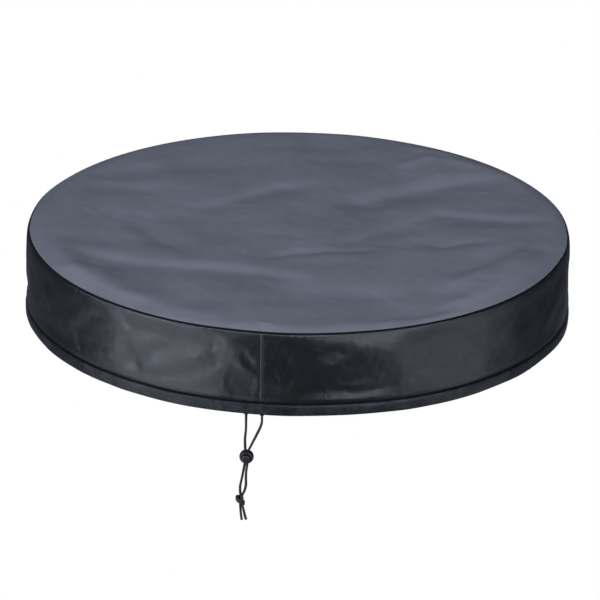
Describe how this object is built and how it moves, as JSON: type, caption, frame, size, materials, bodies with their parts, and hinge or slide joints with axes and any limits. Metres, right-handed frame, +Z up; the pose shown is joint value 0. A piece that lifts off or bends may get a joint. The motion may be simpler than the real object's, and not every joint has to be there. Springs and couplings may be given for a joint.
{
  "type": "round spa cover",
  "caption": "Round drawcord cover for a small hot tub: flat cloth top, upright skirt, corded hem, and hanging cord ends with a spring lock and knot.",
  "frame": {"origin": "centre of the top panel's flat inner face, where the cover rests on the tub's rim", "axes": "+Z up out of the cover's top; -Y towards the front seam and the hanging drawcord; +X to the right seen from the front"},
  "size_m": [0.8005, 0.8081, 0.3002],
  "materials": {
    "top_cloth": "grey-blue coated woven polyester, satin",
    "skirt_cloth": "near-black coated woven polyester, satin with soft sheen",
    "binding_tape": "matt woven tape",
    "thread": "polyester sewing thread",
    "drawcord": "black braided polyester cord",
    "lock_plastic": "moulded black plastic, fine texture",
    "button_plastic": "moulded black plastic, smoother",
    "spring_steel": "drawn spring wire"
  },
  "bodies": {
    "cover": {"top_panel": "top_cloth", "skirt_panel_left": "skirt_cloth", "skirt_panel_right": "skirt_cloth", "top_seam_binding": "binding_tape", "front_seam_binding": "binding_tape", "back_seam_binding": "binding_tape", "top_seam_thread": "thread", "hem_thread": "thread", "front_seam_thread": "thread", "back_seam_thread": "thread", "exit_stitching": "thread", "drawcord_in_hem": "drawcord"},
    "cord_ends": {"drawcord_left_upper": "drawcord", "drawcord_right_upper": "drawcord", "drawcord_left_lower": "drawcord", "drawcord_right_lower": "drawcord", "cord_knot": "drawcord"},
    "cord_lock": {"lock_barrel": "lock_plastic", "lock_spring": "spring_steel"},
    "lock_button": {"lock_plunger": "button_plastic"}
  },
  "joints": [
    {"name": "drawcord_swing", "type": "hinge", "parent": "cover", "child": "cord_ends", "pos_m": [-0.0083, -0.39672, -0.13228], "axis": [-1, 0, 0], "range_deg": [-20, 80], "deforming": ["drawcord_left_upper", "drawcord_right_upper"]},
    {"name": "lock_slide", "type": "slide", "parent": "cord_ends", "child": "cord_lock", "axis": [0, 0, 1], "range_m": [-0.022, 0.02], "deforming": ["drawcord_left_upper", "drawcord_right_upper", "drawcord_left_lower", "drawcord_right_lower"]},
    {"name": "button_press", "type": "slide", "parent": "cord_lock", "child": "lock_button", "axis": [0, 1, 0], "range_m": [0, 0.0025], "stiffness_N_per_m": 1000, "springref_m": -0.003, "deforming": ["lock_spring"]}
  ]
}
